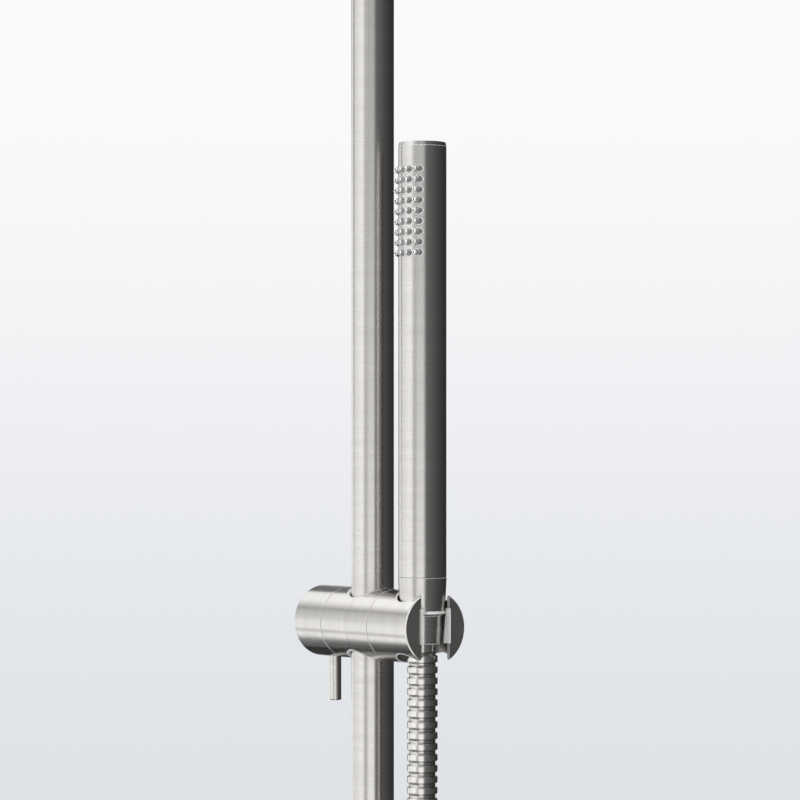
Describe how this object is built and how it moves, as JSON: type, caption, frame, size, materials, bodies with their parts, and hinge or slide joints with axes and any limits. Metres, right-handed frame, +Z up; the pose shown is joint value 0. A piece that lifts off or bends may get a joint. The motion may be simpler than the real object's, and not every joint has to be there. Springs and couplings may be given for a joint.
{
  "type": "shower rail set",
  "caption": "Round wall-mounted shower rail with a barrel slider, tilting holder, clamp lever, stick handset and ribbed hose to an outlet in the lower bracket.",
  "frame": {"origin": "where the lower bracket's axis meets the wall, at the middle of its two wall screws", "axes": "+Z up along the rail, +Y into the wall, -Y into the room, +X to the right of someone who faces the wall"},
  "size_m": [0.1828, 0.1398, 1.4278],
  "materials": {
    "brushed_stainless": "brushed",
    "turned_stainless": "fine turned",
    "brass": "machined",
    "zinc_steel": "plated",
    "grey_acetal": "satin moulded",
    "black_acetal": "satin moulded",
    "white_abs": "moulded",
    "nozzle_silicone": "smooth moulded",
    "black_rubber": "matt",
    "hose_plastic": "smooth extruded"
  },
  "bodies": {
    "root": {"rail_tube": "brushed_stainless", "hose": "turned_stainless", "hose_liner": "hose_plastic", "outlet_washer": "black_rubber", "outlet_nut": "turned_stainless", "outlet_ferrule": "turned_stainless", "outlet_nipple": "brushed_stainless", "check_valve": "white_abs", "inlet_nipple": "brass", "lower_bracket": "brushed_stainless", "upper_bracket": "brushed_stainless", "lower_wall_plate": "zinc_steel", "upper_wall_plate": "zinc_steel", "lower_rose": "brushed_stainless", "upper_rose": "brushed_stainless", "wall_screws": "zinc_steel", "bracket_grub_screws": "zinc_steel", "rail_grub_screws": "zinc_steel"},
    "carriage": {"rail_bush_upper": "black_acetal", "rail_bush_lower": "black_acetal"},
    "slider": {"slider_body": "brushed_stainless", "clamp_nut": "brass", "clamp_circlip": "zinc_steel", "head_pivot": "turned_stainless", "friction_washer": "turned_stainless"},
    "brake": {"brake_shoe": "black_acetal"},
    "clamp": {"clamp_knob": "brushed_stainless", "clamp_spindle": "turned_stainless", "knob_end_cap": "brushed_stainless", "lever_pin": "turned_stainless"},
    "holder": {"holder_head": "brushed_stainless", "holder_liner": "grey_acetal", "head_friction_ring": "black_rubber"},
    "hose_end": {"hose_ferrule": "turned_stainless"},
    "handset": {"handset_tube": "brushed_stainless", "handset_cap": "brushed_stainless", "nozzle_strip": "nozzle_silicone", "spray_chamber": "white_abs", "handset_duct": "white_abs", "handset_sleeve": "brushed_stainless", "handset_connector": "turned_stainless", "flow_restrictor": "white_abs", "seat_ring": "grey_acetal", "hose_nut": "turned_stainless", "hose_washer": "black_rubber"}
  },
  "joints": [
    {"name": "rail_slide", "type": "slide", "parent": "root", "child": "carriage", "axis": [0, 0, 1], "range_m": [-0.62, 0.3], "deforming": ["hose", "hose_liner"]},
    {"name": "rail_swivel", "type": "hinge", "parent": "carriage", "child": "slider", "pos_m": [0, -0.055, 0.68], "axis": [0, 0, 1], "range_deg": [-90, 90], "deforming": ["hose", "hose_liner"]},
    {"name": "head_tilt", "type": "hinge", "parent": "slider", "child": "holder", "pos_m": [0, -0.055, 0.68], "axis": [0, 1, 0], "range_deg": [-60, 60], "deforming": ["hose", "hose_liner"]},
    {"name": "clamp_turn", "type": "hinge", "parent": "slider", "child": "clamp", "pos_m": [0, -0.055, 0.68], "axis": [0, 1, 0], "range_deg": [0, 90]},
    {"name": "brake_travel", "type": "slide", "parent": "slider", "child": "brake", "axis": [0, 1, 0], "range_m": [0, 0.00076]},
    {"name": "handset_lift", "type": "slide", "parent": "holder", "child": "hose_end", "axis": [0, 0, 1], "range_m": [0, 0.06], "deforming": ["hose", "hose_liner"]},
    {"name": "handset_spin", "type": "hinge", "parent": "hose_end", "child": "handset", "pos_m": [0, -0.09475, 0.68], "axis": [0, 0, 1], "continuous": true}
  ],
  "couplings": [
    {"joint": "brake_travel", "follows": "clamp_turn", "m_per_rad": 0.00047746}
  ]
}
